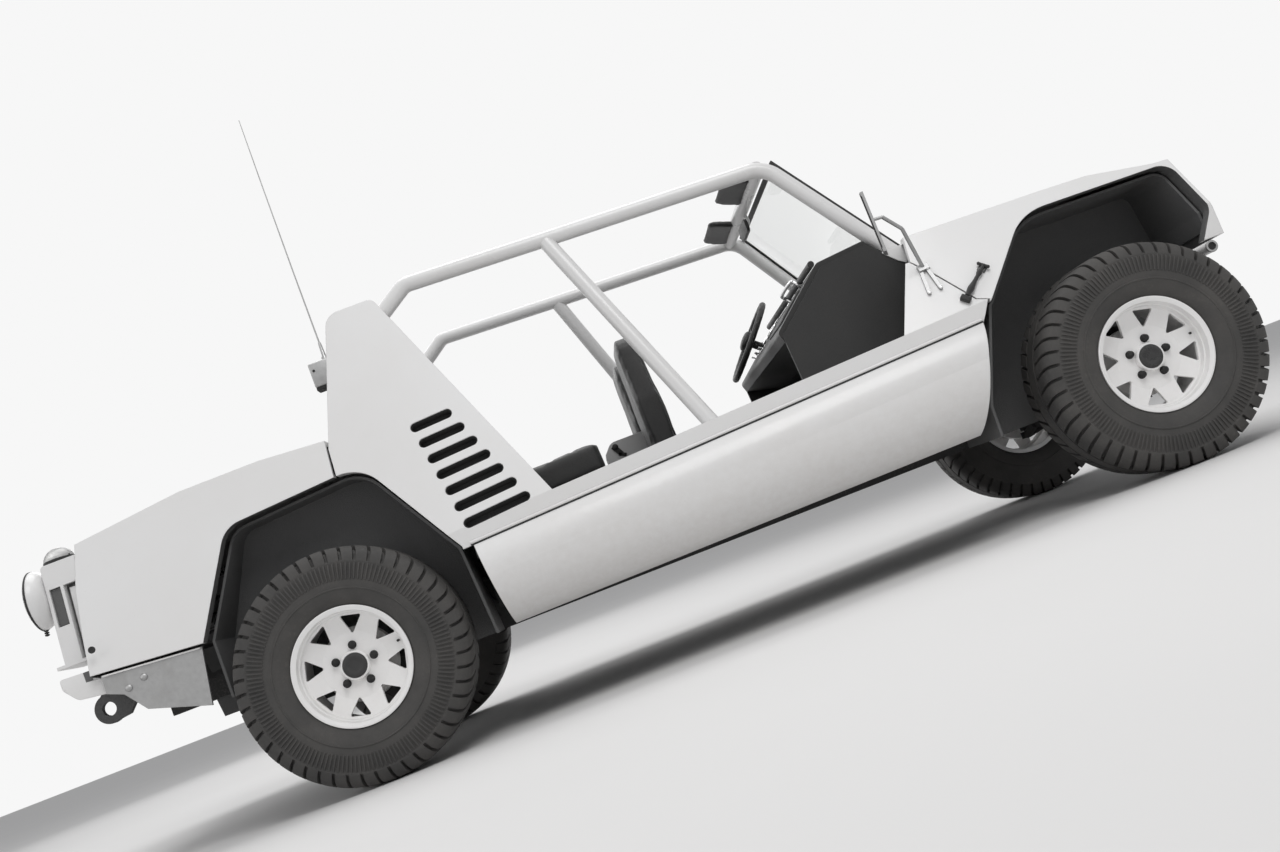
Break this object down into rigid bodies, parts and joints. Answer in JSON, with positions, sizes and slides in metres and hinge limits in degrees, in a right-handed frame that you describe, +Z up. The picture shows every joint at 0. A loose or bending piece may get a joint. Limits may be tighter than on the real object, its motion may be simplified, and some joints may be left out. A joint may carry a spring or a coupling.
{
  "type": "off-road utility vehicle",
  "caption": "Open rear-engined off-road utility vehicle with bulged side pods, louvred rear buttresses, a white roll cage, wide tyres and body ends that tilt open.",
  "frame": {"origin": "on the ground, under the middle of the vehicle's length and width", "axes": "+X towards the front, +Y to the driver's left, +Z up"},
  "size_m": [4.5056, 2.0128, 2.474],
  "materials": {
    "body_paint": "smooth off-white body enamel",
    "cage_paint": "white enamel on tube",
    "well_black": "matt black underseal",
    "trim_black": "matt black padded trim",
    "seat_black": "black grained upholstery",
    "rubber_black": "black rubber",
    "tyre_black": "black tyre rubber, dusty",
    "rim_white": "light wheel enamel",
    "frame_grey": "dark grey chassis paint",
    "iron_grey": "cast iron, dull",
    "console_grey": "light grey paint",
    "clear_glass": "clear laminated glass",
    "lamp_lens": "ribbed lamp glass",
    "chrome_trim": "chromed steel",
    "galvanised": "grey plated steel",
    "eye_black": "black painted forging"
  },
  "bodies": {
    "chassis": {"frame_rails": "frame_grey", "floor_tub": "well_black", "front_bulkhead": "well_black", "rear_bulkhead": "well_black", "side_pod_left": "body_paint", "side_pod_right": "body_paint", "body_side_left": "body_paint", "body_side_right": "body_paint", "scuttle": "body_paint", "dashboard": "trim_black", "roll_cage": "cage_paint", "windscreen": "clear_glass", "windscreen_seal": "rubber_black", "visors_and_mirror": "trim_black", "front_seat_left": "seat_black", "front_seat_right": "seat_black", "seat_frames": "frame_grey", "rear_bench": "seat_black", "console_box": "console_grey", "engine_block": "iron_grey", "front_wells": "well_black", "rear_wells": "well_black", "front_suspension": "frame_grey", "rear_axle": "frame_grey", "steering_gear": "frame_grey", "front_bar": "cage_paint", "rear_valance": "galvanised", "tow_eyes": "eye_black", "rear_hinges": "well_black", "aerial": "galvanised", "door_mirrors": "chrome_trim"},
    "front_clip": {"front_clip": "body_paint", "headlamps": "lamp_lens", "front_latches": "rubber_black"},
    "rear_clip": {"rear_clip": "body_paint", "tail_guards": "body_paint", "tail_lamps": "lamp_lens"},
    "steering_wheel": {"steering_wheel": "trim_black"},
    "knuckle_left": {"knuckle_left": "frame_grey"},
    "knuckle_right": {"knuckle_right": "frame_grey"},
    "wheel_front_left": {"tyre_front_left": "tyre_black", "rim_front_left": "rim_white"},
    "wheel_front_right": {"tyre_front_right": "tyre_black", "rim_front_right": "rim_white"},
    "wheel_rear_left": {"tyre_rear_left": "tyre_black", "rim_rear_left": "rim_white"},
    "wheel_rear_right": {"tyre_rear_right": "tyre_black", "rim_rear_right": "rim_white"}
  },
  "joints": [
    {"name": "steer_left", "type": "hinge", "parent": "chassis", "child": "knuckle_left", "pos_m": [1.783, 0.7, 0.41], "axis": [0, 0, 1], "range_deg": [-26, 26]},
    {"name": "steer_right", "type": "hinge", "parent": "chassis", "child": "knuckle_right", "pos_m": [1.783, -0.7, 0.41], "axis": [0, 0, 1], "range_deg": [-26, 26]},
    {"name": "steering_wheel_turn", "type": "hinge", "parent": "chassis", "child": "steering_wheel", "pos_m": [0.659, 0.35, 1.118], "axis": [-0.7604, 0, 0.6494], "range_deg": [-480, 480]},
    {"name": "front_clip_tilt", "type": "hinge", "parent": "chassis", "child": "front_clip", "pos_m": [2.148, 0, 0.75], "axis": [0, 1, 0], "range_deg": [0, 55]},
    {"name": "rear_clip_tilt", "type": "hinge", "parent": "chassis", "child": "rear_clip", "pos_m": [-1.071, 0, 1.2], "axis": [0, 1, 0], "range_deg": [0, 60]},
    {"name": "roll_front_left", "type": "hinge", "parent": "knuckle_left", "child": "wheel_front_left", "pos_m": [1.783, 0.82, 0.41], "axis": [0, 1, 0], "continuous": true},
    {"name": "roll_front_right", "type": "hinge", "parent": "knuckle_right", "child": "wheel_front_right", "pos_m": [1.783, -0.82, 0.41], "axis": [0, 1, 0], "continuous": true},
    {"name": "roll_rear_left", "type": "hinge", "parent": "chassis", "child": "wheel_rear_left", "pos_m": [-1.217, 0.82, 0.41], "axis": [0, 1, 0], "continuous": true},
    {"name": "roll_rear_right", "type": "hinge", "parent": "chassis", "child": "wheel_rear_right", "pos_m": [-1.217, -0.82, 0.41], "axis": [0, 1, 0], "continuous": true}
  ],
  "couplings": [
    {"joint": "steer_right", "follows": "steer_left", "ratio": 1},
    {"joint": "steering_wheel_turn", "follows": "steer_left", "ratio": 18}
  ]
}
